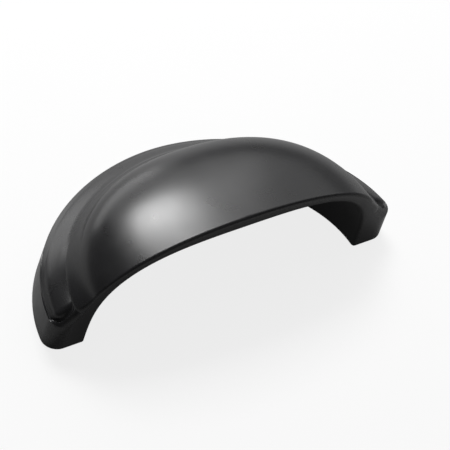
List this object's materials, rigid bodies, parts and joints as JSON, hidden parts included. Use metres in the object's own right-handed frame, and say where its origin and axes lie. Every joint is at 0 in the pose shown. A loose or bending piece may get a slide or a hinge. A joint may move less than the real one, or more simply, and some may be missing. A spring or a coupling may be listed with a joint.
{
  "type": "cup pull",
  "caption": "Half-round drawer cup pull: a domed shell with a thick rim, a raised bead round the dome and an open lower edge that fingers hook under.",
  "frame": {"origin": "midway between the two screw holes, on the flat mounting face", "axes": "+Z out of the drawer front, +Y up the drawer front towards the closed top of the pull, +X along its width"},
  "size_m": [0.084, 0.0343, 0.0261],
  "materials": {
    "coating": "satin black powder coat"
  },
  "bodies": {
    "root": {"body": "coating"}
  },
  "joints": []
}
